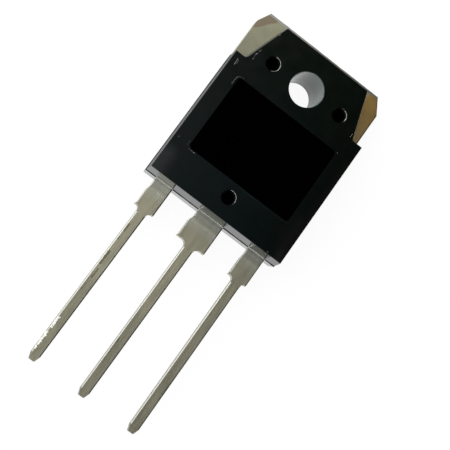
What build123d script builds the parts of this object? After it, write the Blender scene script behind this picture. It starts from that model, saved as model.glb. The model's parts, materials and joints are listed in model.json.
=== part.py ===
from build123d import *
from math import tan, radians
import os

# Three-lead power package with a moulded body on a copper header, in millimetres.
# The origin is the centre of the mounting hole on the back face. Z points to the
# front face, Y to the tab's top edge, and the leads run along -Y.

# Mould: upper half
package_thickness = 4.8
parting_height = 2.4          # parting line, above the back face
front_width = 14.9
front_bottom = 14.79          # hole centre to the lead-side edge of the front face
shoulder_drop = 1.15          # hole centre to the shoulders under the ears
neck_top = 3.62               # hole centre to the top edge of the front face
shoulder_width = 1.15         # each shoulder, side of the front face to the neck
neck_taper = 1.52             # each flank of the neck, from the shoulder to the top edge
neck_corner_radius = 0.35
upper_side_draft = 0.9        # degrees, long sides
upper_end_draft = 0.8         # degrees, lead side and shoulders
neck_draft = 4.0              # degrees, walls between the ears
front_edge_radius = 0.04

# Mould: lower half
lower_side_draft = 2.5        # degrees, long sides
lower_end_draft = 6.0         # degrees, lead side
parting_ledge = 0.04          # how far the lower half stands out at the parting line

# Mounting hole, ejector pits and marking field
hole_radius = 1.6
hole_front_radius = 1.7
hole_rim_chamfer = 0.07
pit_spacing = 7.86            # the two pits beside the hole
low_pit_drop = 12.77          # hole centre to the third pit
pit_rim_radius = 0.76
pit_floor_radius = 0.64
pit_depth = 0.4
pit_rim_chamfer = 0.08
marking_width = 11.54
marking_height = 8.3
marking_drop = 7.15           # hole centre to the field's centre
marking_depth = 0.03
marking_corner_radius = 0.4

# Copper header
header_thickness = 1.5
tab_top = 5.0                 # hole centre to the tab's top edge
left_ear_inset = 0.1          # side of the front face to the ear's side
right_ear_inset = 0.01
left_chamfer_width = 0.72
left_chamfer_height = 1.45
right_chamfer_width = 0.96
right_chamfer_height = 1.6
ear_corner_radius = 0.25      # left ear, as stamped
tab_roll_radius = 0.15        # rolled upper edge, along the top and down the right ear
tab_hole_radius = 2.2         # the mould lines this hole
pad_margin = 1.02             # side of the front face to the heat-sink face on the back
pad_end = 8.9                 # hole centre to the heat-sink face's lower edge
lock_flange = 0.45            # buried flange that keys the header into the mould
lock_step_height = 0.5

# Stack on the header
header_solder_thickness = 0.05
ceramic_width = 8.8
ceramic_length = 6.7
ceramic_thickness = 0.4
ceramic_drop = 5.9            # hole centre to the plate's centre
track_inset = 0.35            # bare ceramic round the copper track
track_thickness = 0.1
die_solder_thickness = 0.05
die_width = 5.8
die_length = 4.7
die_thickness = 0.35
die_drop = 5.35               # hole centre to the die's centre
die_solder_overhang = 0.1
clip_solder_thickness = 0.05

# Leads
lead_pitch = 5.45
lead_thickness = 0.6
lead_underside = 2.1          # above the back face
lead_reach = 35.05            # hole centre to the tips
shoulder_end = 18.0           # hole centre to the end of the wide part
root_half_width = 0.95        # outer leads, at the mould
middle_root_half_width = 1.43
root_shift = (0.11, 0.07, -0.01)    # sideways set of each root
stub_start = 16.2             # dam bar stub, left on one side of each lead
stub_slope = 0.55
stub_width = (0.12, 0.22, 0.1)
burr_width = 0.1
burr_height = 0.12
leg_width = 1.02
leg_fillet = 0.52
stub_edge_radius = 0.05       # upper edge of the root, on the stub side
roll_radius = 0.13            # rolled upper edges of the leg, and the root's other edge
leg_edge_radius = 0.06        # lower edges of the leg
tip_width = 0.58
tip_taper_length = 0.65
lead_drift = (-0.14, -0.08, 0.02)   # sideways set of each tip

# Inner ends of the leads
post_start = 13.7             # hole centre to the outer end of the bonding posts
post_end = 11.1
post_inner_reach = 1.75       # from the lead's axis towards the middle
post_outer_reach = 1.0
anchor_hole_radius = 0.4
anchor_hole_drop = 13.0
foot_width = 3.4
foot_overlap = 0.8            # of the middle lead's foot on the track
foot_flare_length = 0.7

# Clips from the die to the outer posts
clip_thickness = 0.3
clip_post_overlap = 1.5
clip_bridge_rise = 0.5        # bridge, above the leads
clip_slope_length = 0.7
main_clip_post_width = 1.8
main_contact_width = 3.5
main_contact_length = 3.6
gate_clip_post_width = 1.0
gate_contact_width = 0.9
gate_contact_length = 0.9
contact_edge_gap = 0.3        # die edge to the contacts
contact_spacing = 0.5         # between the main and the gate contact

# Derived places
front_z = package_thickness
upper_height = package_thickness - parting_height
shoulder_y = -shoulder_drop
wall_x = front_width / 2 + upper_height * tan(radians(upper_side_draft))
wall_y = -front_bottom - upper_height * tan(radians(upper_end_draft))
shoulder_wall_y = shoulder_y + upper_height * tan(radians(upper_end_draft))
ear_foot_y = shoulder_wall_y + parting_ledge
left_ear_x = -front_width / 2 + left_ear_inset
right_ear_x = front_width / 2 - right_ear_inset
pad_half_width = front_width / 2 - pad_margin
flange_half_width = pad_half_width + lock_flange
flange_end_y = -pad_end - lock_flange
lead_top_z = lead_underside + lead_thickness
ceramic_z = header_thickness + header_solder_thickness
track_z = ceramic_z + ceramic_thickness
track_top_z = track_z + track_thickness
track_width = ceramic_width - 2 * track_inset
track_length = ceramic_length - 2 * track_inset
track_end_y = -ceramic_drop - track_length / 2
die_z = track_top_z + die_solder_thickness
die_top_z = die_z + die_thickness
contact_z = die_top_z + clip_solder_thickness
foot_end_y = track_end_y + foot_overlap


def outline(*points):
    """Closed flat face through the points, on the XY plane."""
    return make_face(Polyline(*points, close=True))


def block(x_min, x_max, y_min, y_max, z_min, z_max):
    face = outline((x_min, y_min), (x_max, y_min), (x_max, y_max), (x_min, y_max))
    return extrude(Pos(0, 0, z_min) * face, amount=z_max - z_min)


def plate(width, length, centre_y, z_min, thickness):
    half = width / 2
    return block(-half, half, centre_y - length / 2, centre_y + length / 2, z_min, z_min + thickness)


def drafted(face, z, depth, angle):
    """Face at height z, run down by depth; it grows by the draft angle on the way."""
    return extrude(Pos(0, 0, z) * face, amount=depth, dir=(0, 0, -1), taper=-angle)


def round_corners(face, radius, *places):
    """Round the outline's corners that lie at the given places."""
    corners = [min(face.vertices(), key=lambda v: (v.X - x) ** 2 + (v.Y - y) ** 2) for x, y in places]
    return fillet(corners, radius)


def nearest_edge(shape, place):
    return min(shape.edges(), key=lambda e: (e.center() - place).length)


# ---- Mould ----

def crossed(cross_section, side_section):
    """Solid that has one outline along Y and another along X."""
    along_y = extrude(Plane.XZ * cross_section, amount=2 * front_bottom, both=True)
    along_x = extrude(Plane.YZ * side_section, amount=front_width, both=True)
    return along_y & along_x


def upper_half():
    half = front_width / 2
    body = crossed(
        outline((half, front_z), (wall_x, parting_height), (-wall_x, parting_height), (-half, front_z)),
        outline((-front_bottom, front_z), (wall_y, parting_height),
                (shoulder_wall_y, parting_height), (shoulder_y, front_z)))
    base = half - shoulder_width
    top = base - neck_taper
    overlap_y = shoulder_y - neck_corner_radius * 2
    neck = drafted(
        outline((-base, overlap_y), (base, overlap_y), (base, shoulder_y),
                (top, neck_top), (-top, neck_top), (-base, shoulder_y)),
        front_z, package_thickness - header_thickness, neck_draft)
    body += neck
    corner = Vector(base, shoulder_y, (front_z + parting_height) / 2)
    inner_corners = [nearest_edge(body, corner), nearest_edge(body, Vector(-base, corner.Y, corner.Z))]
    body = fillet(inner_corners, min(neck_corner_radius, shoulder_width / 2))
    rim = [e for e in body.edges() if abs(e.center().Z - front_z) < 1e-4]
    return fillet(rim, front_edge_radius)


def lower_half():
    ledge_x = wall_x + parting_ledge
    back_x = ledge_x - parting_height * tan(radians(lower_side_draft))
    ledge_y = wall_y - parting_ledge
    back_y = ledge_y + parting_height * tan(radians(lower_end_draft))
    return crossed(
        outline((ledge_x, parting_height), (back_x, 0), (-back_x, 0), (-ledge_x, parting_height)),
        outline((ledge_y, parting_height), (back_y, 0), (ear_foot_y, 0), (ear_foot_y, parting_height)))


def mounting_bore():
    """Straight through the header's collar, then tapered to the front face."""
    bore = Cylinder(hole_radius, header_thickness, align=(Align.CENTER, Align.CENTER, Align.MIN))
    taper_height = front_z - header_thickness
    taper = Pos(0, 0, header_thickness) * Cone(
        hole_radius, hole_front_radius, taper_height, align=(Align.CENTER, Align.CENTER, Align.MIN))
    rim = Pos(0, 0, front_z - hole_rim_chamfer) * Cone(
        hole_front_radius, hole_front_radius + hole_rim_chamfer, hole_rim_chamfer,
        align=(Align.CENTER, Align.CENTER, Align.MIN))
    return bore + taper + rim


def ejector_pits():
    places = [(-pit_spacing / 2, 0), (pit_spacing / 2, 0), (0, -low_pit_drop)]
    throat_radius = pit_rim_radius - pit_rim_chamfer
    above = (Align.CENTER, Align.CENTER, Align.MIN)
    pit = Pos(0, 0, -pit_depth) * Cone(pit_floor_radius, throat_radius, pit_depth, align=above)
    pit += Pos(0, 0, -pit_rim_chamfer) * Cone(throat_radius, pit_rim_radius, pit_rim_chamfer, align=above)
    return [Pos(x, y, front_z) * pit for x, y in places]


def marking_field():
    face = RectangleRounded(marking_width, marking_height, marking_corner_radius)
    return extrude(Pos(0, -marking_drop, front_z - marking_depth) * face, amount=marking_depth)


def mould_body(embedded):
    collar = Cylinder(tab_hole_radius, header_thickness, align=(Align.CENTER, Align.CENTER, Align.MIN))
    body = upper_half() + lower_half() + collar
    body -= mounting_bore()
    for recess in [*ejector_pits(), marking_field(), *embedded]:
        body -= recess
    return body


# ---- Header ----

def header():
    left_x = left_ear_x + left_chamfer_width
    right_x = right_ear_x - right_chamfer_width
    face = outline(
        (-flange_half_width, flange_end_y), (flange_half_width, flange_end_y),
        (flange_half_width, ear_foot_y), (right_ear_x, ear_foot_y),
        (right_ear_x, tab_top - right_chamfer_height), (right_x, tab_top),
        (left_x, tab_top), (left_ear_x, tab_top - left_chamfer_height),
        (left_ear_x, ear_foot_y), (-flange_half_width, ear_foot_y))
    face = round_corners(face, ear_corner_radius, (left_ear_x, tab_top - left_chamfer_height))
    body = extrude(face, amount=header_thickness)
    rolled = [
        e for e in body.edges()
        if e.center().Z > header_thickness - 1e-4 and e.center().Y > ear_foot_y + 1e-4
        and e.center().X > left_x
    ]
    body = fillet(rolled, tab_roll_radius)
    body -= Cylinder(tab_hole_radius, 2 * header_thickness)
    undercut = block(left_ear_x, right_ear_x, flange_end_y, ear_foot_y, 0, lock_step_height)
    pad = block(-pad_half_width, pad_half_width, -pad_end, ear_foot_y, 0, lock_step_height)
    return body - (undercut - pad)


# ---- Insulator, die and solder ----

def header_solder():
    return plate(track_width, track_length, -ceramic_drop, header_thickness, header_solder_thickness)


def ceramic_plate():
    return plate(ceramic_width, ceramic_length, -ceramic_drop, ceramic_z, ceramic_thickness)


def copper_track():
    return plate(track_width, track_length, -ceramic_drop, track_z, track_thickness)


def die_solder():
    return plate(
        die_width + 2 * die_solder_overhang, die_length + 2 * die_solder_overhang,
        -die_drop, track_top_z, die_solder_thickness)


def triac_die():
    return plate(die_width, die_length, -die_drop, die_z, die_thickness)


def foot_solder():
    half = foot_width / 2
    return block(-half, half, track_end_y, foot_end_y, track_top_z, lead_underside)


# ---- Leads ----

def lead_outline(number, axis_x, half, inner_points):
    """Plan of a lead: wide root, dam bar stub, rounded step to the leg, tapered tip."""
    leg = leg_width / 2
    tip = tip_width / 2
    left = axis_x + root_shift[number] - half
    right = axis_x + root_shift[number] + half
    stub_x = left - stub_width[number]
    tip_x = axis_x + lead_drift[number]
    taper_y = -lead_reach + tip_taper_length
    points = [
        (left, -stub_start + stub_slope), (stub_x, -stub_start), (stub_x, -shoulder_end + burr_height),
        (stub_x - burr_width, -shoulder_end), (axis_x - leg, -shoulder_end), (tip_x - leg, taper_y),
        (tip_x - tip, -lead_reach), (tip_x + tip, -lead_reach), (tip_x + leg, taper_y),
        (axis_x + leg, -shoulder_end), (right, -shoulder_end),
    ]
    face = outline(*points, *inner_points)
    for corner_x, room in ((axis_x - leg, axis_x - leg - stub_x), (axis_x + leg, right - axis_x - leg)):
        face = round_corners(face, min(leg_fillet, 0.75 * room), (corner_x, -shoulder_end))
    return face


def lead(number, axis_x, half, inner_points):
    plan = lead_outline(number, axis_x, half, inner_points)
    body = extrude(Pos(0, 0, lead_underside) * plan, amount=lead_thickness)
    root_y = inner_points[0][1]
    root_edges = [
        e for e in body.edges()
        if e.center().Z > lead_top_z - 1e-4 and e.center().X < axis_x
        and -shoulder_end + burr_height < e.center().Y < root_y - 1e-4
    ]
    body = fillet(root_edges, stub_edge_radius)
    leg_middle_y = -(shoulder_end + lead_reach) / 2
    lower_edges = [
        e for e in body.edges()
        if e.center().Z < lead_underside + 1e-4 and abs(e.center().Y - leg_middle_y) < tip_taper_length
    ]
    body = fillet(lower_edges, leg_edge_radius)
    for side in (-1, 1):
        edge_x = axis_x + side * leg_width / 2
        top = Vector(edge_x, -shoulder_end, lead_top_z)
        bottom = Vector(edge_x + lead_drift[number], -lead_reach + tip_taper_length, lead_top_z)
        body -= edge_roll(top + (bottom - top).normalized() * leg_fillet, bottom, side)
    right = axis_x + root_shift[number] + half
    past_end = Vector(right, -shoulder_end - roll_radius, lead_top_z)
    return body - edge_roll(Vector(right, root_y, lead_top_z), past_end, 1)


def edge_roll(start, end, side):
    """What rolling takes off a lead's upper edge on one side, from start to end."""
    spare = roll_radius / 2
    square = Rectangle(roll_radius + spare, roll_radius + spare)
    corner = Pos(side * (spare - roll_radius) / 2, (spare - roll_radius) / 2) * square
    section = corner - Pos(-side * roll_radius, -roll_radius) * Circle(roll_radius)
    across = Plane(origin=start, x_dir=(1, 0, 0), z_dir=end - start)
    return extrude(across * section, amount=(end - start).length)


def anchor_hole(axis_x):
    return Pos(axis_x, -anchor_hole_drop, lead_underside) * Cylinder(anchor_hole_radius, 2 * lead_thickness)


def outer_lead(number, side):
    """Outer lead with a bonding post that reaches towards the middle, and an anchor hole."""
    axis_x = side * lead_pitch
    low_x, high_x = sorted((axis_x - side * post_inner_reach, axis_x + side * post_outer_reach))
    root_x = axis_x + root_shift[number]
    inner_points = [
        (root_x + root_half_width, -post_start), (high_x, -post_start), (high_x, -post_end),
        (low_x, -post_end), (low_x, -post_start), (root_x - root_half_width, -post_start)]
    body = lead(number, axis_x, root_half_width, inner_points)
    return body - anchor_hole(axis_x)


def middle_lead(number):
    """Middle lead with a flared foot on the insulator's copper track."""
    foot = foot_width / 2
    flare_y = track_end_y - foot_flare_length
    root_x = root_shift[number]
    inner_points = [
        (root_x + middle_root_half_width, flare_y), (foot, track_end_y), (foot, foot_end_y),
        (-foot, foot_end_y), (-foot, track_end_y), (root_x - middle_root_half_width, flare_y)]
    body = lead(number, 0, middle_root_half_width, inner_points)
    return body - anchor_hole(0)


# ---- Clips ----

def contact_box(contact):
    """Left, right, low and high edge of a contact on the die."""
    left = -die_width / 2 + contact_edge_gap
    low = -die_drop - die_length / 2 + contact_edge_gap
    if contact == "main":
        return left, left + main_contact_width, low, low + main_contact_length
    gate_left = left + main_contact_width + contact_spacing
    return gate_left, gate_left + gate_contact_width, low, low + gate_contact_length


def clip(contact, side, post_width):
    """Formed strip: flat on the post, up over the foot's level, down to the die."""
    left, right, low, high = contact_box(contact)
    post_x = side * lead_pitch
    post_low = -post_end - clip_post_overlap
    bridge_z = lead_top_z + clip_bridge_rise
    t = clip_thickness
    run = clip_slope_length
    path = [
        (post_low, lead_top_z), (-post_end, lead_top_z), (-post_end + run, bridge_z),
        (low - run, bridge_z), (low, contact_z), (high, contact_z)]
    side_view = make_face(Polyline(*path, *[(y, z + t) for y, z in reversed(path)], close=True))
    width = 2 * lead_pitch + post_width
    strip = extrude(Plane.YZ * side_view, amount=width, both=True)
    half = post_width / 2
    plan = outline(
        (post_x - half, post_low), (post_x + half, post_low), (post_x + half, -post_end),
        (right, low), (right, high), (left, high), (left, low), (post_x - half, -post_end))
    return strip & extrude(plan, amount=package_thickness)


def clip_solder(contact):
    left, right, low, high = contact_box(contact)
    return block(left, right, low, high, die_top_z, contact_z)


def build_parts():
    inner = {
        "header": header(),
        "header_solder": header_solder(),
        "ceramic_plate": ceramic_plate(),
        "copper_track": copper_track(),
        "die_solder": die_solder(),
        "triac_die": triac_die(),
        "foot_solder": foot_solder(),
        "main_clip_solder": clip_solder("main"),
        "gate_clip_solder": clip_solder("gate"),
        "main_clip": clip("main", -1, main_clip_post_width),
        "gate_clip": clip("gate", 1, gate_clip_post_width),
        "lead_main_1": outer_lead(0, -1),
        "lead_main_2": middle_lead(1),
        "lead_gate": outer_lead(2, 1),
    }
    return {"mould_body": mould_body(inner.values()), **inner}


os.makedirs("parts", exist_ok=True)
for name, solid in build_parts().items():
    export_step(solid, f"parts/{name}.step")
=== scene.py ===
import bpy
import json
import math
from mathutils import Matrix, Vector


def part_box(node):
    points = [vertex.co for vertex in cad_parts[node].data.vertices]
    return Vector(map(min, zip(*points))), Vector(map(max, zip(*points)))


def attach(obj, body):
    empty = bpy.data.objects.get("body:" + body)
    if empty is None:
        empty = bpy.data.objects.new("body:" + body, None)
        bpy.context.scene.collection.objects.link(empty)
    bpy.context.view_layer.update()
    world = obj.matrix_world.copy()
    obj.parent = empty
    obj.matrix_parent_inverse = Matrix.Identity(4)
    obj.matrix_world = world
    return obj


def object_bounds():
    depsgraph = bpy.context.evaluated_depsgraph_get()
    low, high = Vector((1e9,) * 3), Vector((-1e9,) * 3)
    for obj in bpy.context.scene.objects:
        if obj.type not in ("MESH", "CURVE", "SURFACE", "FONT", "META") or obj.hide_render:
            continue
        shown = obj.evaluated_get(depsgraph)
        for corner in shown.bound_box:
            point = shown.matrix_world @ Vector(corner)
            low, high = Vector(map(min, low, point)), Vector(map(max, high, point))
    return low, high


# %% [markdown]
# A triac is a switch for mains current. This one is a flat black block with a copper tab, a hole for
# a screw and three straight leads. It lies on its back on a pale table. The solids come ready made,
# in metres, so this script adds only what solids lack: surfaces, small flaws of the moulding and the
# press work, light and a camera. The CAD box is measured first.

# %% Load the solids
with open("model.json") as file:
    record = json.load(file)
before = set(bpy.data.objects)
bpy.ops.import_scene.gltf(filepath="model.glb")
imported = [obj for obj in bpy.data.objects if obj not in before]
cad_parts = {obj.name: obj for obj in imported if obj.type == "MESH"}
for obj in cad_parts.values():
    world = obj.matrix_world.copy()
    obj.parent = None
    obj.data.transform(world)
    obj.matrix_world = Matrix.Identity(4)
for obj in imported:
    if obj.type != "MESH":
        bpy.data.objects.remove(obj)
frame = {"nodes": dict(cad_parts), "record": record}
cad_low, cad_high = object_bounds()
MM = 0.001
mould_low, mould_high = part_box("mould_body")
lead_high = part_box("lead_main_2")[1]
print("nodes", sorted(frame["nodes"]))
print("size in mm", [round(v / MM, 2) for v in (cad_high - cad_low)])

# %% [markdown]
# Every finish below is a small network of nodes, and a node network in a script soon gets long. A few
# helpers keep it readable: they add a node and fill its sockets, start a group or a material, give the
# place or the facing of a point, and lay a relief on a finish. A value that is a socket gets linked,
# and anything else is typed in.


# %% Helpers for nodes
def fill(tree, node, values):
    for key, value in values.items():
        socket = node.inputs[key]
        if isinstance(value, bpy.types.NodeSocket):
            tree.links.new(value, socket)
        else:
            socket.default_value = value
    return node


def add(tree, kind, values=None, **settings):
    node = tree.nodes.new(kind)
    for key, value in settings.items():
        setattr(node, key, value)
    return fill(tree, node, values or {})


def maths(tree, operation, *values, clamp=False):
    node = add(tree, "ShaderNodeMath", dict(enumerate(values)), operation=operation, use_clamp=clamp)
    return node.outputs[0]


def vector_maths(tree, operation, *values):
    node = add(tree, "ShaderNodeVectorMath", dict(enumerate(values)), operation=operation)
    return node.outputs["Value" if operation in ("LENGTH", "DOT_PRODUCT") else "Vector"]


def to_mm(tree, place):
    scaled = vector_maths(tree, "SCALE", place)
    scaled.node.inputs["Scale"].default_value = 1 / MM
    return scaled


def remap(tree, value, start, end, low, high, soft=False):
    kind = "SMOOTHSTEP" if soft else "LINEAR"
    values = {"Value": value, "From Min": start, "From Max": end, "To Min": low, "To Max": high}
    return add(tree, "ShaderNodeMapRange", values, interpolation_type=kind).outputs["Result"]


def blend(tree, factor, first, second, mode="MIX"):
    node = tree.nodes.new("ShaderNodeMix")
    node.data_type = "RGBA"
    node.blend_type = mode
    fill(tree, node, {"Factor": factor})
    for name, value in (("A", first), ("B", second)):
        socket = next(s for s in node.inputs if s.name == name and s.type == "RGBA")
        if isinstance(value, bpy.types.NodeSocket):
            tree.links.new(value, socket)
        else:
            socket.default_value = (*value, 1.0)
    return next(s for s in node.outputs if s.type == "RGBA")


def start_group(name, inputs, outputs, kind="ShaderNodeTree"):
    tree = bpy.data.node_groups.new(name, kind)
    for label, socket_type, value in inputs:
        socket = tree.interface.new_socket(label, in_out="INPUT", socket_type=socket_type)
        if value is not None:
            socket.default_value = value
    for label, socket_type in outputs:
        tree.interface.new_socket(label, in_out="OUTPUT", socket_type=socket_type)
    return tree, tree.nodes.new("NodeGroupInput"), tree.nodes.new("NodeGroupOutput")


def start_material(name):
    material = bpy.data.materials.new(name)
    material.use_nodes = True
    tree = material.node_tree
    return material, tree, tree.nodes["Principled BSDF"]


def axes_of(tree, source):
    """X, Y and Z of a place on the object, in metres, or of the way a surface faces."""
    return add(tree, "ShaderNodeSeparateXYZ", {0: add(tree, "ShaderNodeTexCoord").outputs[source]}).outputs


def lay_relief(tree, shader, height, strength, distance):
    """A bump whose distance is in millimetres."""
    bump = add(tree, "ShaderNodeBump", {"Height": height, "Strength": strength, "Distance": distance * MM})
    tree.links.new(bump.outputs["Normal"], shader.inputs["Normal"])


print("helpers ready")

# %% [markdown]
# Mottle is the first effect that all the finishes share. Plating, epoxy and tarnish are never even:
# they vary slowly from place to place. A noise texture gives that. The group takes its place in
# millimetres, so that a scale of 2 means two patches to a millimetre, and it can be stretched, which
# turns round patches into the long streaks that rolling and drawing leave on strip metal.

# %% Shared effect: mottle
mottle_tree, given, made = start_group(
    "mottle",
    [("Scale", "NodeSocketFloat", 1.0), ("Stretch", "NodeSocketVector", (1, 1, 1)),
     ("Shift", "NodeSocketVector", (0, 0, 0)), ("Detail", "NodeSocketFloat", 4.0),
     ("Start", "NodeSocketFloat", 0.3), ("End", "NodeSocketFloat", 0.7),
     ("Low", "NodeSocketFloat", 0.0), ("High", "NodeSocketFloat", 1.0)],
    [("Value", "NodeSocketFloat")])
in_mm = to_mm(mottle_tree, add(mottle_tree, "ShaderNodeTexCoord").outputs["Object"])
stretched = vector_maths(mottle_tree, "MULTIPLY_ADD", in_mm, given.outputs["Stretch"], given.outputs["Shift"])
noise = add(mottle_tree, "ShaderNodeTexNoise", {
    "Vector": stretched, "Scale": given.outputs["Scale"], "Detail": given.outputs["Detail"],
    "Roughness": 0.55})
value = remap(mottle_tree, noise.outputs["Fac"], given.outputs["Start"], given.outputs["End"],
              given.outputs["Low"], given.outputs["High"])
mottle_tree.links.new(value, made.inputs["Value"])


def mottle(tree, **values):
    node = add(tree, "ShaderNodeGroup", node_tree=mottle_tree)
    return fill(tree, node, {key.capitalize(): value for key, value in values.items()}).outputs["Value"]


print("group", mottle_tree.name, [s.name for s in mottle_tree.interface.items_tree])

# %% [markdown]
# A patch is the second shared effect. Stains, scuffs and worn places sit at one spot, not all over.
# The group measures how far a point is outside a turned box with round corners, which takes only a
# few vector nodes, and fades from one to nothing over the edge. A little noise makes the edge uneven.


# %% Shared effect: patch
patch_tree, given, made = start_group(
    "patch",
    [("Centre", "NodeSocketVector", (0, 0, 0)), ("Half", "NodeSocketVector", (1, 1, 100)),
     ("Turn", "NodeSocketFloat", 0.0), ("Corner", "NodeSocketFloat", 0.2),
     ("Edge", "NodeSocketFloat", 0.2), ("Waver", "NodeSocketFloat", 0.0),
     ("Grain", "NodeSocketFloat", 2.0)],
    [("Mask", "NodeSocketFloat")])
in_mm = to_mm(patch_tree, add(patch_tree, "ShaderNodeTexCoord").outputs["Object"])
moved = vector_maths(patch_tree, "SUBTRACT", in_mm, given.outputs["Centre"])
turned = add(patch_tree, "ShaderNodeVectorRotate", {
    "Vector": moved, "Angle": given.outputs["Turn"]}, rotation_type="Z_AXIS").outputs["Vector"]
inner = vector_maths(patch_tree, "SUBTRACT", given.outputs["Half"], given.outputs["Corner"])
beyond = vector_maths(patch_tree, "SUBTRACT", vector_maths(patch_tree, "ABSOLUTE", turned), inner)
outside = vector_maths(patch_tree, "LENGTH", vector_maths(patch_tree, "MAXIMUM", beyond, (0, 0, 0)))
noise = add(patch_tree, "ShaderNodeTexNoise", {
    "Vector": in_mm, "Scale": given.outputs["Grain"], "Detail": 5.0})
centred = maths(patch_tree, "SUBTRACT", noise.outputs["Fac"], 0.5)
wave = maths(patch_tree, "MULTIPLY", centred, given.outputs["Waver"])
distance = maths(patch_tree, "ADD", maths(patch_tree, "SUBTRACT", outside, given.outputs["Corner"]), wave)
half_edge = maths(patch_tree, "MULTIPLY", given.outputs["Edge"], 0.5)
inward = maths(patch_tree, "MULTIPLY", half_edge, -1.0)
mask = remap(patch_tree, distance, inward, half_edge, 1.0, 0.0, soft=True)
patch_tree.links.new(mask, made.inputs["Mask"])


def patch(tree, **values):
    node = add(tree, "ShaderNodeGroup", node_tree=patch_tree)
    return fill(tree, node, {key.capitalize(): value for key, value in values.items()}).outputs["Mask"]


print("group", patch_tree.name, [s.name for s in patch_tree.interface.items_tree])

# %% [markdown]
# The body is black epoxy, filled with fine quartz and pressed in a steel mould. It is nearly black
# all through, and what is seen of it is reflection: its steep walls mirror the pale table, while its
# front mirrors the dim room overhead. So the colour stays close to black with a slight cool mottle.
# Painted light is laid on it as well: the front is a little paler near the lead-side corners and along
# the right edge, a painted sheen, and darker towards the right, a painted shade, and the bore is
# painted a greenish grey, a painted reflection of the table through the hole. The roughness does the
# rest: low on the front and on the two end walls, high on the side walls, less so in the bore. A very
# fine bump is the grain of the filler.

# %% Finish: black epoxy
epoxy, tree, shader = start_material("black_epoxy")
place = axes_of(tree, "Object")
front_face = remap(tree, place["Z"], mould_high.z - 0.05 * MM, mould_high.z - 0.01 * MM, 0.0, 1.0)

cool_warm = mottle(tree, scale=0.35, detail=3.0, shift=(3, 7, 1))
speckle = mottle(tree, scale=7.0, detail=6.0, start=0.35, end=0.75)
downward = remap(tree, place["Y"], 3 * MM, -14 * MM, 0.0, 1.0)
tint = blend(tree, downward, (0.0001, 0.0023, 0.0003), (0.0006, 0.0034, 0.0038))
# Painted shade: the front is coloured darker towards the right, where less light falls.
rightward = remap(tree, place["X"], 2 * MM, 7 * MM, 0.0, 0.8)
tint = blend(tree, rightward, tint, (0.0001, 0.0011, 0.0002))
tint = blend(tree, maths(tree, "MULTIPLY", cool_warm, 0.3), tint, (0.0014, 0.0022, 0.0022))
tint = blend(tree, maths(tree, "MULTIPLY", speckle, 0.15), tint, (0.0045, 0.0052, 0.0050))
# Painted sheen: paler patches near the lead-side corners and along the right edge.
for centre, half, edge, haze in (
        ((-7.6, -14.8, 4.8), (1.0, 2.2, 0.3), 2.4, (0.024, 0.026, 0.0265)),
        ((7.5, -14.6, 4.8), (0.6, 0.9, 0.3), 1.4, (0.0190, 0.0205, 0.0200)),
        ((7.3, -12.3, 4.8), (0.9, 2.0, 0.3), 2.0, (0.0050, 0.0054, 0.0050)),
        ((7.5, -9.0, 4.8), (0.5, 6.0, 0.3), 1.0, (0.0032, 0.0034, 0.0026))):
    sheen_patch = patch(tree, centre=centre, half=half, corner=0.5, edge=edge, waver=0.6, grain=0.8)
    tint = blend(tree, sheen_patch, tint, haze)

# Painted reflection: the bore is coloured greenish grey, standing in for the table seen through the hole.
bore = patch(tree, centre=(0, 0, 2.4), half=(1.9, 1.9, 6.0), corner=1.9, edge=0.04)
bore = maths(tree, "MULTIPLY", bore, maths(tree, "SUBTRACT", 1.0, front_face))
tint = blend(tree, bore, tint, (0.049, 0.086, 0.083))
fill(tree, shader, {"Base Color": tint, "IOR": 1.45})

front_rough = mottle(tree, scale=0.8, detail=6.0, low=0.12, high=0.16)
wall_rough = mottle(tree, scale=1.6, detail=5.0, low=0.08, high=0.15, shift=(5, 5, 5))
facing = axes_of(tree, "Normal")
sideways = remap(tree, maths(tree, "ABSOLUTE", facing["X"]), 0.7, 0.95, 0.0, 1.0)
sideways = maths(tree, "MULTIPLY", sideways, remap(tree, bore, 0.0, 1.0, 1.0, 0.4))
haze = remap(tree, downward, 0.3, 1.0, 0.41, 0.35)
wall_rough = maths(tree, "ADD", wall_rough, maths(tree, "MULTIPLY", sideways, haze), clamp=True)
rough = add(tree, "ShaderNodeMix", {"Factor": front_face, "A": wall_rough, "B": front_rough})
tree.links.new(rough.outputs["Result"], shader.inputs["Roughness"])

grain = mottle(tree, scale=9.0, detail=3.0)
wave = mottle(tree, scale=0.6, detail=2.0, shift=(1, 9, 4))
lay_relief(tree, shader, maths(tree, "ADD", maths(tree, "MULTIPLY", grain, 0.12), wave), 0.25, 0.006)
print("epoxy nodes", len(tree.nodes))

# %% [markdown]
# The leads are punched from copper strip and dipped in tin, which ages to a dull, slightly yellow
# grey. Where they leave the block they stay paler and greyer, because flux was washed from there, and
# a slight fold crosses each root. Painted light is laid on them too: right at the block they are
# painted paler still, against the shade of the wall, the fold carries a painted highlight, and the
# right lead is painted paler, against the dimmer room on its side. Long fine streaks follow the strip.
# One lead has dark stains along an edge, and white glints near its tip, painted as a flat white. The
# press leaves each side rolled above and torn below; the lower parts of the sides and the sides that
# face right are painted dark as shade, and the left sides below the roll are painted darker as a dark
# reflection. The streaks are mottle stretched along the lead, and the stains are patches at their own
# places.

# %% Finish: plated leads
plating, tree, shader = start_material("plated_lead")
place = axes_of(tree, "Object")
along = place["Y"]
streaks = mottle(tree, scale=2.2, stretch=(3.0, 0.12, 1.0), detail=3.0)
clouds = mottle(tree, scale=0.45, detail=4.0, shift=(2, 3, 8))
colour = blend(tree, clouds, (0.515, 0.495, 0.365), (0.565, 0.545, 0.405))
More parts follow.
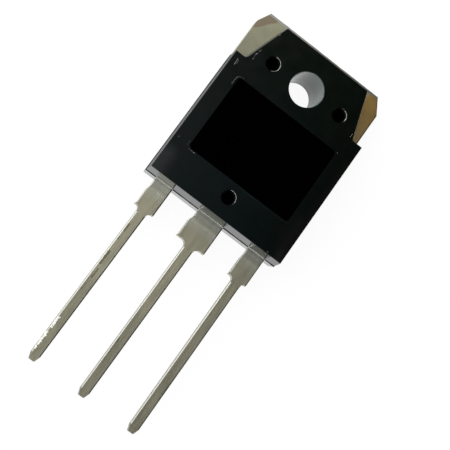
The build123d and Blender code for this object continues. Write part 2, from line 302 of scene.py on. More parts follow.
# Painted light: the right lead gets a paler colour to make up for the dimmer light on its side.
right_lead = remap(tree, place["X"], 3.0 * MM, 4.5 * MM, 0.0, 0.5)
colour = blend(tree, right_lead, colour, (0.69, 0.66, 0.49))
upper = remap(tree, along, -27.0 * MM, -25.0 * MM, 0.0, 1.0, soft=True)
colour = blend(tree, upper, colour, (0.645, 0.618, 0.457))
washed = patch(tree, centre=(0, -23.8, 2.7), half=(20, 1.2, 9), corner=0.1, edge=3.0, waver=0.6, grain=0.6)
colour = blend(tree, maths(tree, "MULTIPLY", washed, 0.6), colour, (0.76, 0.73, 0.55))
near_body = remap(tree, along, -17.0 * MM, -16.2 * MM, 0.0, 1.0, soft=True)
colour = blend(tree, near_body, colour, (0.71, 0.71, 0.585))
# The pale colour on the fold is a painted highlight; the fold's shape is in the relief below.
fold_and_highlight = patch(tree, centre=(0, -16.02, 2.7), half=(20, 0.12, 9), corner=0.1, edge=0.22, waver=0.5, grain=0.7)
colour = blend(tree, maths(tree, "MULTIPLY", fold_and_highlight, 0.8), colour, (0.88, 0.88, 0.74))
# Painted light: the last half millimetre by the block is made much paler, against the shade of the wall.
wall_shade_fill = remap(tree, along, -15.65 * MM, -15.2 * MM, 0.0, 1.0, soft=True)
colour = blend(tree, wall_shade_fill, colour, (0.95, 0.975, 0.86))
colour = blend(tree, maths(tree, "MULTIPLY", streaks, 0.12), colour, (0.45, 0.42, 0.30))
stains = None
for centre, half, turn in (
        ((-5.76, -20.3, 2.7), (0.08, 0.45, 9.0), 0.0), ((-5.79, -21.5, 2.7), (0.05, 0.18, 9.0), 0.0),
        ((-5.76, -23.7, 2.7), (0.10, 0.80, 9.0), 0.02), ((-5.63, -25.4, 2.7), (0.07, 0.55, 9.0), 0.0),
        ((-5.78, -27.2, 2.7), (0.05, 0.12, 9.0), 0.1), ((-0.37, -29.1, 2.7), (0.06, 0.32, 9.0), 0.0)):
    spot = patch(tree, centre=centre, half=half, turn=turn, corner=0.05, edge=0.08, waver=0.20, grain=4.0)
    stains = spot if stains is None else maths(tree, "MAXIMUM", stains, spot)
colour = blend(tree, maths(tree, "MULTIPLY", stains, 0.75), colour, (0.20, 0.19, 0.115))
for edge_x, turn in ((-5.80, -0.007), (-0.35, -0.004), (5.16, 0.001)):
    line = patch(tree, centre=(edge_x, -27.0, 2.7), half=(0.025, 7.6, 9.0), turn=turn, corner=0.02,
                 edge=0.05, waver=0.08, grain=1.5)
    colour = blend(tree, maths(tree, "MULTIPLY", line, 0.45), colour, (0.30, 0.28, 0.18))
# Painted highlights: white glints by the left edge near the tip of the left lead, flat white and not metal.
white_glint = maths(
    tree, "MAXIMUM",
    patch(tree, centre=(-5.90, -31.1, 2.7), half=(0.09, 0.65, 9.0), corner=0.04, edge=0.05,
          waver=0.55, grain=4.5),
    patch(tree, centre=(-5.95, -33.1, 2.7), half=(0.075, 0.90, 9.0), corner=0.04, edge=0.05,
          waver=0.55, grain=4.5))
facing = axes_of(tree, "Normal")
# Painted shade: the lower part of each side and the sides that face right are coloured dark.
lower = remap(tree, place["Z"], lead_high.z - 0.36 * MM, lead_high.z - 0.28 * MM, 1.0, 0.0)
shaded_lower_side = maths(tree, "MULTIPLY", lower, remap(tree, facing["Z"], 0.2, 0.5, 1.0, 0.0))
shaded_right_side = remap(tree, facing["X"], 0.25, 0.55, 0.0, 0.9)
shaded_flank = maths(tree, "MAXIMUM", shaded_lower_side, shaded_right_side)
# Painted reflection: the left sides below the roll are coloured darker, as a dark reflection.
below_roll = remap(tree, place["Z"], lead_high.z - 0.24 * MM, lead_high.z - 0.14 * MM, 1.0, 0.0)
dim_left_flank = maths(tree, "MULTIPLY", below_roll, remap(tree, facing["X"], -0.8, -0.6, 1.0, 0.0))
colour = blend(tree, shaded_flank, colour, (0.06, 0.055, 0.045))
colour = blend(tree, dim_left_flank, colour, (0.20, 0.19, 0.165))
rolled = maths(tree, "MULTIPLY", remap(tree, facing["X"], -0.35, -0.15, 1.0, 0.0),
               remap(tree, facing["Z"], 0.2, 0.4, 0.0, 1.0))
colour = blend(tree, rolled, colour, (0.37, 0.37, 0.355))
colour = blend(tree, white_glint, colour, (0.95, 0.95, 0.88))
tip = maths(tree, "MULTIPLY", remap(tree, facing["Y"], -0.5, -0.25, 0.85, 0.0),
            remap(tree, along, -34.0 * MM, -33.5 * MM, 1.0, 0.0))
colour = blend(tree, tip, colour, (0.20, 0.205, 0.17))
fill(tree, shader, {"Base Color": colour, "Metallic": maths(tree, "SUBTRACT", 1.0, white_glint)})

rough = mottle(tree, scale=1.2, stretch=(2.0, 0.3, 1.0), detail=6.0, low=0.29, high=0.35)
rough = maths(tree, "ADD", rough, maths(tree, "MULTIPLY", shaded_flank, 0.2), clamp=True)
tree.links.new(rough, shader.inputs["Roughness"])
relief = maths(tree, "ADD", maths(tree, "MULTIPLY", streaks, 0.3), maths(tree, "MULTIPLY", fold_and_highlight, 0.8))
lay_relief(tree, shader, relief, 0.25, 0.02)
print("plating nodes", len(tree.nodes))

# %% [markdown]
# The tab is a thick copper stamping with the same thin plating, but it has been hot: one ear is still
# grey with a brown stain across its corner, and the other has turned golden brown. One material
# serves the whole stamping, so the colour changes across the block, and a patch makes the stain. The
# rolled rim at the top is a plain grey, and the faces that point up the tab and those that point right
# are painted dark as shade.

# %% Finish: tarnished tab
tarnish, tree, shader = start_material("tarnished_copper")
place = axes_of(tree, "Object")
rightward = remap(tree, place["X"], 4.8 * MM, 6.0 * MM, 0.0, 1.0, soft=True)
lowness = remap(tree, place["Y"], 4.5 * MM, 0.0, 0.0, 1.0)

clouds = mottle(tree, scale=0.7, detail=5.0, shift=(6, 1, 2))
grey = blend(tree, clouds, (0.50, 0.495, 0.340), (0.56, 0.55, 0.385))
grey = blend(tree, maths(tree, "MULTIPLY", lowness, 0.5), grey, (0.30, 0.295, 0.24))
gold = blend(tree, clouds, (0.450, 0.285, 0.082), (0.525, 0.338, 0.112))
gold = blend(tree, maths(tree, "MULTIPLY", lowness, 0.6), gold, (0.36, 0.285, 0.165))
colour = blend(tree, rightward, grey, gold)
stain = patch(tree, centre=(-6.86, 4.10, 1.5), half=(0.60, 1.25, 9.0), turn=0.688, corner=0.2, edge=0.18,
              waver=0.25, grain=1.4)
colour = blend(tree, maths(tree, "MULTIPLY", stain, 0.9), colour, (0.36, 0.29, 0.20))
rim = remap(tree, place["Y"], 4.72 * MM, 4.80 * MM, 0.0, 1.0)
colour = blend(tree, rim, colour, (0.62, 0.61, 0.57))
dark_rim = maths(tree, "MULTIPLY", rim, remap(tree, place["X"], -3.0 * MM, 0.0, 0.0, 1.0))
colour = blend(tree, dark_rim, colour, (0.27, 0.265, 0.25))
facing = axes_of(tree, "Normal")
# Painted shade: faces that point up the tab and faces that point right are coloured dark.
colour = blend(tree, remap(tree, facing["Y"], 0.15, 0.5, 0.0, 0.9), colour, (0.13, 0.13, 0.125))
colour = blend(tree, remap(tree, facing["X"], 0.25, 0.5, 0.0, 0.85), colour, (0.10, 0.075, 0.04))
fine = mottle(tree, scale=6.0, detail=6.0, low=0.0, high=0.22)
colour = blend(tree, fine, colour, (0.16, 0.14, 0.09))
fill(tree, shader, {"Base Color": colour, "Metallic": 1.0})
tree.links.new(mottle(tree, scale=1.5, detail=6.0, low=0.32, high=0.42), shader.inputs["Roughness"])
lay_relief(tree, shader, mottle(tree, scale=3.0, detail=5.0), 0.25, 0.01)
print("tarnish nodes", len(tree.nodes))

# %% [markdown]
# Inside the block, where nobody looks unless it is cut open, are bare copper, solder, a white ceramic
# plate and the silicon die. Each is a plain finish with its own mottle, made by one function.


# %% Finishes: inner pieces
def inner_finish(name, first, second, metallic, low, high, scale):
    material, tree, shader = start_material(name)
    cloud = mottle(tree, scale=scale, detail=5.0)
    colour = blend(tree, cloud, first, second)
    fill(tree, shader, {"Base Color": colour, "Metallic": metallic})
    tree.links.new(mottle(tree, scale=scale * 2, detail=5.0, low=low, high=high), shader.inputs["Roughness"])
    lay_relief(tree, shader, cloud, 0.2, 0.01)
    return material


bare_copper = inner_finish("bare_copper", (0.52, 0.24, 0.14), (0.66, 0.34, 0.21), 1.0, 0.32, 0.45, 1.2)
solder = inner_finish("solder", (0.40, 0.40, 0.41), (0.56, 0.56, 0.56), 1.0, 0.40, 0.60, 2.5)
ceramic = inner_finish("ceramic", (0.74, 0.74, 0.71), (0.84, 0.84, 0.82), 0.0, 0.50, 0.65, 3.0)
silicon = inner_finish("silicon", (0.070, 0.075, 0.095), (0.11, 0.11, 0.13), 0.0, 0.18, 0.28, 1.0)

finishes = {"black_epoxy": epoxy, "tarnished_copper": tarnish, "plated_lead": plating,
            "bare_copper": bare_copper, "solder": solder, "ceramic": ceramic, "silicon": silicon}
for part in frame["record"]["subparts"]:
    solid = frame["nodes"][part["node"]]
    for slot in solid.material_slots:
        slot.material = finishes[part["material_slot"]]
    print(part["node"], "->", part["material_slot"])

# %% [markdown]
# Where the two halves of the mould meet, a little epoxy always creeps out and sets as flash: a thin,
# ragged bead along the parting line. It follows a path and its thickness is random, which is a job
# for Geometry Nodes. The tree resamples a path, gives every point its own radius from noise, sweeps a
# small round profile along it, and names the material. The same tree, with other sizes, makes every
# other ragged line below, from the pale rims of the pits to the torn burrs where the press has cut the
# bar between the leads.


# %% Geometry Nodes: ragged bead along a path
def geometry_tree(name, inputs):
    sockets = [("Geometry", "NodeSocketGeometry", None), *inputs]
    return start_group(name, sockets, [("Geometry", "NodeSocketGeometry")], "GeometryNodeTree")


bead_tree, given, made = geometry_tree("ragged_bead", [
    ("Step", "NodeSocketFloat", 0.1 * MM), ("Thinnest", "NodeSocketFloat", 0.01 * MM),
    ("Thickest", "NodeSocketFloat", 0.04 * MM), ("Grain", "NodeSocketFloat", 2.0),
    ("Seed", "NodeSocketFloat", 0.0), ("Material", "NodeSocketMaterial", None)])
curve = add(bead_tree, "GeometryNodeMeshToCurve", {"Mesh": given.outputs["Geometry"]}).outputs["Curve"]
evenly = add(bead_tree, "GeometryNodeResampleCurve", {
    "Curve": curve, "Length": given.outputs["Step"]}, mode="LENGTH")
where = add(bead_tree, "GeometryNodeInputPosition").outputs["Position"]
noise = add(bead_tree, "ShaderNodeTexNoise", {
    "Vector": to_mm(bead_tree, where), "W": given.outputs["Seed"], "Scale": given.outputs["Grain"],
    "Detail": 6.0}, noise_dimensions="4D")
radius = remap(bead_tree, noise.outputs["Fac"], 0.35, 0.7,
               given.outputs["Thinnest"], given.outputs["Thickest"])
ring = add(bead_tree, "GeometryNodeCurvePrimitiveCircle", {"Resolution": 6, "Radius": 1.0})
sweep = add(bead_tree, "GeometryNodeCurveToMesh", {
    "Curve": evenly.outputs["Curve"], "Profile Curve": ring.outputs["Curve"], "Scale": radius,
    "Fill Caps": True})
real = add(bead_tree, "GeometryNodeRealizeInstances", {"Geometry": sweep.outputs["Mesh"]})
finished = add(bead_tree, "GeometryNodeSetMaterial", {
    "Geometry": real.outputs["Geometry"], "Material": given.outputs["Material"]})
bead_tree.links.new(finished.outputs["Geometry"], made.inputs["Geometry"])
print("bead tree nodes", len(bead_tree.nodes))


def grow(name, tree, mesh, values):
    """Run a tree on a mesh, keep the result as a plain mesh and fasten it to the part."""
    piece = bpy.data.objects.new(name, mesh)
    bpy.context.scene.collection.objects.link(piece)
    modifier = piece.modifiers.new("grow", "NODES")
    modifier.node_group = tree
    for item in tree.interface.items_tree:
        if item.in_out == "INPUT" and item.name in values:
            modifier[item.identifier] = values[item.name]
    evaluated = piece.evaluated_get(bpy.context.evaluated_depsgraph_get())
    plain = bpy.data.meshes.new_from_object(evaluated)
    piece.modifiers.clear()
    piece.data = plain
    plain.name = name
    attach(piece, "root")
    print(name, "faces", len(plain.polygons))


def in_metres(points):
    return [tuple(MM * v for v in p) for p in points]


def bead(name, runs, step, thinnest, thickest, grain, seed, material):
    """A ragged bead along each run of points. All its sizes are in millimetres."""
    points, edges = [], []
    for run in runs:
        first = len(points)
        points += in_metres(run)
        edges += [(first + i, first + i + 1) for i in range(len(run) - 1)]
    mesh = bpy.data.meshes.new(name + "_path")
    mesh.from_pydata(points, edges, [])
    grow(name, bead_tree, mesh, {
        "Step": step * MM, "Thinnest": thinnest * MM, "Thickest": thickest * MM, "Grain": grain,
        "Seed": seed, "Material": material})


# %% Flash along the parting line
side_x = mould_high.x / MM
end_y = mould_low.y / MM
line_z = (mould_low.z + mould_high.z) / 2 / MM
shoulder_y = -1.04
left_lead_x, right_lead_x = -6.33, 6.43
between_leads = [(-4.36, -1.44), (1.53, 4.42)]
flash_runs = [
    [(-side_x, shoulder_y, line_z), (-side_x, end_y, line_z), (left_lead_x, end_y, line_z)],
    *[[(a, end_y, line_z), (b, end_y, line_z)] for a, b in between_leads],
    [(right_lead_x, end_y, line_z), (side_x, end_y, line_z), (side_x, shoulder_y, line_z)]]
bead("parting_flash", flash_runs, 0.12, 0.006, 0.030, 1.5, 3.0, epoxy)

# %% [markdown]
# The front has a shallow field for the marking. It is left blank here: a thin, flat, dead black skin
# lies in it, because the ink block that fills it is much duller than the epoxy round it. The floors
# of the three ejector pits get the same dead black skins as painted shade: dark sheets that stand in
# for the shade deep in the pits. A skin is an outline with a little thickness, built point by point,
# and an arc is a helper that serves every round stretch below.

# %% Finish: dead black ink, also painted shade in the pits
ink_and_shade, tree, shader = start_material("dead_black_ink_and_shade")
cloud = mottle(tree, scale=1.0, detail=5.0)
fill(tree, shader, {
    "Base Color": blend(tree, cloud, (0.00005, 0.00005, 0.00005), (0.0003, 0.0003, 0.0003)),
    "Specular IOR Level": 0.0})
tree.links.new(mottle(tree, scale=4.0, detail=4.0, low=0.8, high=0.95), shader.inputs["Roughness"])
lay_relief(tree, shader, cloud, 0.2, 0.004)
print("ink nodes", len(tree.nodes))


# %% Skins on the marking field, and painted shade on the pit floors
def arc(centre, radius, start, end, steps=8):
    """Points in millimetres on an arc, from one angle to another in degrees."""
    angles = [math.radians(start + (end - start) * i / steps) for i in range(steps + 1)]
    return [(centre[0] + radius * math.cos(a), centre[1] + radius * math.sin(a)) for a in angles]


def plain_piece(name, points, faces, material):
    """A small closed piece on the mould, from points in millimetres."""
    mesh = bpy.data.meshes.new(name)
    mesh.from_pydata(in_metres(points), [], faces)
    mesh.materials.append(material)
    piece = bpy.data.objects.new(name, mesh)
    bpy.context.scene.collection.objects.link(piece)
    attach(piece, "root")
    print(name, "faces", len(faces))


def flat_skin(name, outline, low, high):
    """A closed flat piece over an outline, between two heights, in millimetres."""
    count = len(outline)
    faces = [tuple(reversed(range(count))), tuple(range(count, 2 * count))]
    faces += [(i, (i + 1) % count, count + (i + 1) % count, count + i) for i in range(count)]
    plain_piece(name, [(x, y, z) for z in (low, high) for x, y in outline], faces, ink_and_shade)


front_z = mould_high.z / MM
field_half = (5.74, 4.12)
field_centre = (0.0, -7.15)
field_corner = 0.38
field_outline = []
for index, (sx, sy) in enumerate(((1, 1), (-1, 1), (-1, -1), (1, -1))):
    middle = (field_centre[0] + sx * (field_half[0] - field_corner),
              field_centre[1] + sy * (field_half[1] - field_corner))
    field_outline += arc(middle, field_corner, 90 * index, 90 * index + 90)
flat_skin("marking_skin", field_outline, front_z - 0.029, front_z - 0.022)

pit_centres = {"left": (-3.93, 0.0), "right": (3.93, 0.0), "low": (0.0, -12.77)}
floor_z = front_z - 0.4
floor_radius = 0.62
# Painted shade: dead black skins on the pit floors stand in for the shade deep in the pits.
for side_name, centre in pit_centres.items():
    outline = arc(centre, floor_radius, 0, 345, 23)
    flat_skin("pit_shade_skin_" + side_name, outline, floor_z + 0.002, floor_z + 0.01)

# %% [markdown]
# Where an edge has been rubbed, epoxy looks pale, because it is full of tiny cracks. On this part
# that shows as a few strokes near the ears. The same pale finish also paints highlights: on the rims
# of the pits, along some of the rim of the marking field, on a few chips by the front edge, on the
# roots of the leads and in a line up the wall over each of them. They are fine lines of uneven width,
# so they are more ragged beads, in a pale finish of their own.

# %% Finish: scuffed epoxy, also painted highlights
scuffs_and_glints, tree, shader = start_material("scuffed_epoxy_and_glints")
cloud = mottle(tree, scale=3.0, detail=4.0)
pale = blend(tree, cloud, (0.40, 0.41, 0.40), (0.62, 0.63, 0.61))
fill(tree, shader, {"Base Color": pale, "IOR": 1.45})
tree.links.new(mottle(tree, scale=5.0, detail=3.0, low=0.4, high=0.6), shader.inputs["Roughness"])
lay_relief(tree, shader, cloud, 0.3, 0.005)
print("scuffed nodes", len(tree.nodes))


# %% Painted highlights on the rims of the pits
def at_height(points, z):
    return [(x, y, z) for x, y in points]


# Painted highlights: pale crescents on the right side of each pit rim.
rim_radius = 0.715
rim_z = front_z - 0.045
rim_spans = {"left": (-30, 96), "right": (-12, 74), "low": (-2, 108)}
rim_runs = [at_height(arc(pit_centres[n], rim_radius, a, b, 24), rim_z) for n, (a, b) in rim_spans.items()]
bead("pit_rim_highlights", rim_runs, 0.05, 0.012, 0.034, 1.2, 5.0, scuffs_and_glints)
tail = at_height(arc(pit_centres["left"], rim_radius, -70, -30, 8), rim_z)
bead("left_pit_highlight_tail", [tail], 0.05, 0.010, 0.020, 1.2, 5.0, scuffs_and_glints)

# %% Painted highlights on the rim of the marking field, and a faint bead of epoxy
rim_x, rim_top, rim_low, rim_turn = 5.96, -2.93, -11.42, 0.45
top_turn = arc((-rim_x + rim_turn, rim_top - rim_turn), rim_turn, 180, 90)
low_turn = arc((-rim_x + rim_turn, rim_low + rim_turn), rim_turn, 180, 270)
highlight_runs = [
    [(-rim_x, -4.0), *top_turn, (-5.3, rim_top)],
    [(-rim_x, -10.8), *low_turn, (-4.9, rim_low)],
    [(5.74, -2.99), (5.84, -3.10)]]
bead("field_rim_highlights", [at_height(run, front_z) for run in highlight_runs], 0.10, 0.001, 0.010, 1.6, 2.0, scuffs_and_glints)
faint_run = [(0.2, rim_low), *arc((rim_x - rim_turn, rim_low + rim_turn), rim_turn, 270, 320)]
bead("faint_rim", [at_height(faint_run, front_z)], 0.10, 0.008, 0.020, 1.6, 2.0, epoxy)

# %% Strokes near the ears
strokes = [
    [(-5.60, 0.34), (-5.66, 0.10), (-5.62, 0.02)],
    [(-5.68, -0.08), (-5.80, -0.36)],
    [(-5.79, -0.42), (-5.74, -0.66)],
    [(-5.74, -0.72), (-5.77, -0.93)],
    [(-6.87, -1.71), (-6.84, -2.42)],
    [(-6.72, -1.85), (-6.72, -2.15)],
    [(5.97, -0.62), (5.95, -1.04)],
    [(-5.06, 2.50), (-5.00, 2.64)],
    [(-7.01, -10.92), (-6.99, -11.08)]]
bead("rub_strokes", [at_height(run, front_z) for run in strokes], 0.05, 0.002, 0.015, 2.6, 7.0, scuffs_and_glints)

# %% [markdown]
# Small crumbs of flash and torn metal cling to some edges. They are one more thing that repeats with
# chance in it, so a second tree puts a little rough stone on every point of a mesh, each turned and
# sized by a random value with a fixed seed.

# %% Geometry Nodes: crumbs on points
crumb_tree, given, made = geometry_tree("crumbs", [
    ("Smallest", "NodeSocketFloat", 0.05 * MM), ("Largest", "NodeSocketFloat", 0.12 * MM),
    ("Flatness", "NodeSocketFloat", 0.5), ("Seed", "NodeSocketInt", 1),
    ("Material", "NodeSocketMaterial", None)])
stone = add(crumb_tree, "GeometryNodeMeshIcoSphere", {"Radius": 1.0, "Subdivisions": 2}).outputs["Mesh"]
turn = add(crumb_tree, "FunctionNodeRandomValue", {
    "Min": (0, 0, 0), "Max": (6.28, 6.28, 6.28), "Seed": given.outputs["Seed"]}, data_type="FLOAT_VECTOR")
size = add(crumb_tree, "FunctionNodeRandomValue", data_type="FLOAT")
for label, source in (("Min", "Smallest"), ("Max", "Largest"), ("Seed", "Seed")):
    socket = next(s for s in size.inputs if s.name == label and s.enabled)
    crumb_tree.links.new(given.outputs[source], socket)
size_value = next(s for s in size.outputs if s.enabled)
flat = add(crumb_tree, "ShaderNodeCombineXYZ", {
    "X": size_value, "Y": size_value,
    "Z": maths(crumb_tree, "MULTIPLY", size_value, given.outputs["Flatness"])}).outputs[0]
placed = add(crumb_tree, "GeometryNodeInstanceOnPoints", {
    "Points": given.outputs["Geometry"], "Instance": stone,
    "Rotation": next(s for s in turn.outputs if s.enabled), "Scale": flat})
real = add(crumb_tree, "GeometryNodeRealizeInstances", {"Geometry": placed.outputs["Instances"]})
where = add(crumb_tree, "GeometryNodeInputPosition").outputs["Position"]
noise = add(crumb_tree, "ShaderNodeTexNoise", {
    "Vector": to_mm(crumb_tree, where), "Scale": 9.0, "Detail": 3.0})
push = vector_maths(crumb_tree, "SCALE", vector_maths(
    crumb_tree, "SUBTRACT", noise.outputs["Color"], (0.5, 0.5, 0.5)))
push.node.inputs["Scale"].default_value = 0.12 * MM
rough_shape = add(crumb_tree, "GeometryNodeSetPosition", {
    "Geometry": real.outputs["Geometry"], "Offset": push})
whole = add(crumb_tree, "GeometryNodeRealizeInstances", {"Geometry": rough_shape.outputs["Geometry"]})
finished = add(crumb_tree, "GeometryNodeSetMaterial", {
    "Geometry": whole.outputs["Geometry"], "Material": given.outputs["Material"]})
crumb_tree.links.new(finished.outputs["Geometry"], made.inputs["Geometry"])
print("crumb tree nodes", len(crumb_tree.nodes))


# %% Crumbs of epoxy, and pale chips as painted highlights
def crumbs(name, points, smallest, largest, flatness, seed, material):
    """A crumb at each point. Places and sizes are in millimetres."""
    mesh = bpy.data.meshes.new(name + "_points")
    mesh.from_pydata(in_metres(points), [], [])
    grow(name, crumb_tree, mesh, {
        "Smallest": smallest * MM, "Largest": largest * MM, "Flatness": flatness, "Seed": seed,
        "Material": material})


crumbs("epoxy_crumbs", [
    (-3.62, -14.74, front_z - 0.02), (5.62, -14.80, 4.60), (6.22, -14.80, 4.60)],
    0.05, 0.10, 0.6, 4, epoxy)
# Painted highlights: pale chips stand in for the glints that flash catches on the front edge.
crumbs("pale_chip_highlights", [
    (-3.46, -14.68, front_z - 0.01), (5.40, -14.76, front_z - 0.03), (5.84, -14.60, front_z - 0.02)],
    0.02, 0.04, 0.7, 2, scuffs_and_glints)

# %% Torn burrs on the leads
lead_top = lead_high.z / MM
burr_z = lead_top - 0.06
burr_runs = [[(left, -16.25, burr_z), (left, -17.85, burr_z)] for left in (-6.41, -1.58, 4.39)]
bead("lead_burrs", burr_runs, 0.07, 0.004, 0.032, 4.0, 8.0, plating)

# %% [markdown]
# Much happens where the leads leave the mould. A seam of tin has gathered in the corner between each
# lead and the wall, and a pale bead on the left edge of each root is a painted highlight. Over that
# edge a fine pale line runs up the wall, a painted reflection of the bright edge. Over the middle and
# the right lead the wall is made duller than the rest by painted shade: a thin plate that leans with
# the wall.

# %% Seams of tin, and painted highlights at the roots
roots = [(-6.29, -4.39), (-1.36, 1.50), (4.49, 6.39)]
seam_z = lead_top + 0.01
seams = [[(a + 0.03, end_y, seam_z), (b - 0.03, end_y, seam_z)] for a, b in roots]
bead("root_seams", seams, 0.08, 0.020, 0.034, 1.0, 6.0, plating)
# Painted highlights: pale beads along the left edge of each root.
corners = [[(a, end_y - 0.42, lead_top - 0.05), (a, end_y + 0.02, lead_top - 0.03)] for a, b in roots]
bead("root_highlights", corners, 0.08, 0.050, 0.070, 1.0, 1.0, scuffs_and_glints)

# %% Painted shade and painted reflections on the wall over the leads
# Painted shade: a dull, nearly black film darkens the wall over the middle and the right lead.
shade_film, tree, shader = start_material("painted_shade_film")
cloud = mottle(tree, scale=1.5, detail=4.0)
tone = blend(tree, cloud, (0.0006, 0.0030, 0.0020), (0.0020, 0.0045, 0.0035))
fill(tree, shader, {"Base Color": tone, "Specular IOR Level": 0.10})
tree.links.new(mottle(tree, scale=4.0, detail=4.0, low=0.10, high=0.16), shader.inputs["Roughness"])
lay_relief(tree, shader, cloud, 0.2, 0.004)

wall_top_y = -14.79
wall_slope = math.tan(math.radians(0.8))


def wall_at(height):
    """The place of the lead-side wall at a height, in millimetres."""
    return wall_top_y - (front_z - height) * wall_slope


def wall_shade_film(name, left, right, low):
    """A closed thin plate on the wall, from a height up to the front edge."""
    high = front_z - 0.05
    outline = [(left, low), (right, low), (right, high), (left, high)]
    points = [(x, wall_at(z) + depth, z) for depth in (-0.004, 0.01) for x, z in outline]
    faces = [(0, 1, 2, 3), (7, 6, 5, 4)] + [(i, i + 4, (i + 1) % 4 + 4, (i + 1) % 4) for i in range(4)]
    plain_piece(name, points, faces, shade_film)


wall_shade_film("shade_film_middle", roots[1][0] + 0.12, roots[1][1], lead_top + 0.55)
wall_shade_film("shade_film_right", roots[2][0] + 0.12, roots[2][1], lead_top + 0.35)
# Painted reflection: pale lines up the wall stand in for the mirrored bright edge of each root.
reflection_heights = (lead_top - 0.05, lead_top + 0.9, front_z - 0.45)
reflection_lines = [[(a - 0.02, wall_at(z) - 0.01, z) for z in reflection_heights] for a, b in roots]
bead("wall_reflections", reflection_lines, 0.08, 0.026, 0.044, 1.2, 3.0, scuffs_and_glints)

# %% Burr along the top of the tab
tab_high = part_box("header")[1]
tab_y = tab_high.y / MM
tab_z = tab_high.z / MM - 0.14
tab_run = [(-5.0, tab_y - 0.005, tab_z), (6.30, tab_y - 0.005, tab_z), (6.44, tab_y + 0.01, tab_z)]
bead("tab_burr", [tab_run], 0.10, 0.015, 0.045, 1.4, 4.0, tarnish)

# %% [markdown]
# The part lies on a pale table. The table is a plain disc with a fine mottle. For the camera and for
# mirror images it is brightened to white, and it still takes the soft shadow of the part, because
# only part of its brightness is added and the rest comes from the lamps.

# %% Table
table_z = cad_low.z - 0.02 * MM
bpy.ops.mesh.primitive_circle_add(vertices=96, radius=1.5, fill_type="NGON", location=(0, 0, 0))
table = bpy.context.object
table.name = "table"
table.data.transform(Matrix.Translation((0, 0, table_z)))
paper, tree, shader = start_material("pale_table")
tree.nodes.remove(shader)
output = tree.nodes["Material Output"]
rays = add(tree, "ShaderNodeLightPath")
seen = maths(tree, "MAXIMUM", rays.outputs["Is Camera Ray"], rays.outputs["Is Glossy Ray"])
seen = maths(tree, "MAXIMUM", seen, rays.outputs["Is Transmission Ray"])
tone = mottle(tree, scale=0.05, detail=4.0, low=0.84, high=0.86)
lit = add(tree, "ShaderNodeBsdfDiffuse", {"Color": add(tree, "ShaderNodeCombineColor", {
    "Red": tone, "Green": tone, "Blue": tone}).outputs[0]})
shaded = add(tree, "ShaderNodeBsdfDiffuse", {"Color": (0.10, 0.10, 0.10, 1)})
glow = add(tree, "ShaderNodeEmission", {"Color": (1, 1, 1, 1), "Strength": 0.93})
bright = add(tree, "ShaderNodeAddShader", {0: shaded.outputs[0], 1: glow.outputs[0]})
surface = add(tree, "ShaderNodeMixShader", {0: seen, 1: lit.outputs[0], 2: bright.outputs[0]})
tree.links.new(surface.outputs[0], output.inputs["Surface"])
table.data.materials.append(paper)
print("table at", round(table_z / MM, 3), "mm")

# %% [markdown]
# Black plastic and dull metal show their surroundings more than their own colour, so the light is
# made of what they should mirror. One patch overhead is dim, with a small gleam in it that lights the
# roots of the leads. The rest of the room is bright, and more so on the left. The world gives that as
# a smooth change with direction. Two soft boxes add the rest: a low one on the left, which draws the
# bright edge along each lead, and a high one.

# %% World and lamps
world = bpy.data.worlds.new("room")
bpy.context.scene.world = world
world.use_nodes = True
tree = world.node_tree
tree.nodes.clear()
toward = add(tree, "ShaderNodeTexCoord").outputs["Generated"]
toward_axes = add(tree, "ShaderNodeSeparateXYZ", {0: toward}).outputs
dim_centre = Vector((0.262, 0.080, 0.962)).normalized()
overhead = vector_maths(tree, "DOT_PRODUCT", toward, dim_centre)
dimness = remap(tree, overhead, 0.930, 0.942, 1.0, 0.045, soft=True)
leftness = vector_maths(tree, "DOT_PRODUCT", toward, (-0.98, -0.20, 0.0))
rise = maths(tree, "POWER", remap(tree, leftness, -0.415, 0.055, 0.0, 1.0), 1.2)
darkest = remap(tree, toward_axes["Z"], 0.3, 0.85, 0.05, 0.178)
side = add(tree, "ShaderNodeMix", {"Factor": rise, "A": darkest, "B": 1.20}).outputs["Result"]
room = maths(tree, "MULTIPLY", dimness, side)
gleam = maths(tree, "POWER", remap(tree, toward_axes["X"], 0.15, 0.03, 0.0, 1.0), 1.5)
for start, end in ((0.12, 0.18), (0.31, 0.285)):
    gleam = maths(tree, "MULTIPLY", gleam, remap(tree, toward_axes["Y"], start, end, 0.0, 1.0))
room = maths(tree, "ADD", room, maths(tree, "MULTIPLY", gleam, 0.31))
rays = add(tree, "ShaderNodeLightPath")
seen = add(tree, "ShaderNodeBackground", {"Color": (1, 1, 1, 1), "Strength": 1.0})
lit = add(tree, "ShaderNodeBackground", {"Color": (1.0, 1.0, 1.0, 1), "Strength": room})
surface = add(tree, "ShaderNodeMixShader", {
    0: rays.outputs["Is Camera Ray"], 1: lit.outputs[0], 2: seen.outputs[0]})
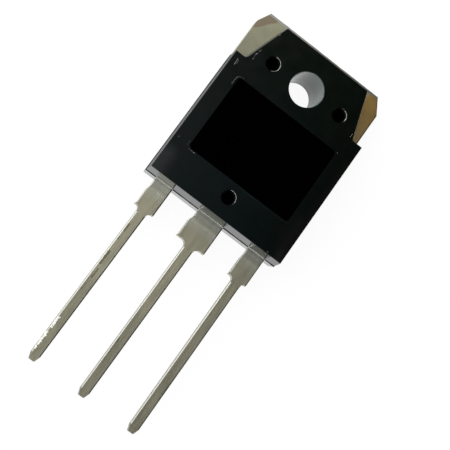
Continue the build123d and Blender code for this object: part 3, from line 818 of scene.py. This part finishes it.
output = add(tree, "ShaderNodeOutputWorld")
tree.links.new(surface.outputs[0], output.inputs["Surface"])


def soft_box(name, place, aim, width, height, brightness):
    """An area lamp, in millimetres, whose face has the given brightness."""
    lamp = bpy.data.lights.new(name, "AREA")
    lamp.shape = "RECTANGLE"
    lamp.size, lamp.size_y = width * MM, height * MM
    lamp.energy = brightness * math.pi * lamp.size * lamp.size_y
    holder = bpy.data.objects.new(name, lamp)
    bpy.context.scene.collection.objects.link(holder)
    holder.location = [v * MM for v in place]
    holder.rotation_euler = (Vector(aim) - Vector(place)).to_track_quat("-Z", "Y").to_euler()
    holder.visible_camera = False
    print(name, "energy", round(lamp.energy, 5))


soft_box("low_left_box", (-100, 25, 60), (0, -12, 2), 90, 90, 2.6)
soft_box("high_left_box", (-52, -48, 95), (-2, -10, 2), 70, 70, 0.9)

# %% [markdown]
# The camera looks steeply down on the front with a long lens, from beyond the lead side and turned a
# good way round, so that the leads run to the lower left. Its direction is given as two angles and a
# roll, and its place follows from the point it looks at and the distance.

# %% Camera
look_at = Vector((1.545, -14.403, 2.0)) * MM
distance = 136.6 * MM
azimuth, elevation, roll = math.radians(29.05), math.radians(75.61), math.radians(65.52)
forward = Vector((math.sin(azimuth) * math.cos(elevation), math.cos(azimuth) * math.cos(elevation),
                  -math.sin(elevation)))
level = Vector((math.cos(azimuth), -math.sin(azimuth), 0))
right = math.cos(roll) * level + math.sin(roll) * level.cross(forward)
up = right.cross(forward)
camera_data = bpy.data.cameras.new("camera")
camera_data.sensor_width = 36.0
camera_data.lens = 117.28
camera_data.clip_start, camera_data.clip_end = 1 * MM, 10.0
camera = bpy.data.objects.new("camera", camera_data)
bpy.context.scene.collection.objects.link(camera)
stand = Matrix.Translation(look_at - forward * distance)
camera.matrix_world = stand @ Matrix((right, up, -forward)).transposed().to_4x4()
bpy.context.scene.camera = camera
bpy.context.scene.view_settings.view_transform = "Standard"
print("camera in mm", [round(v / MM, 2) for v in camera.location])

# %% Update the scene
bpy.context.view_layer.update()
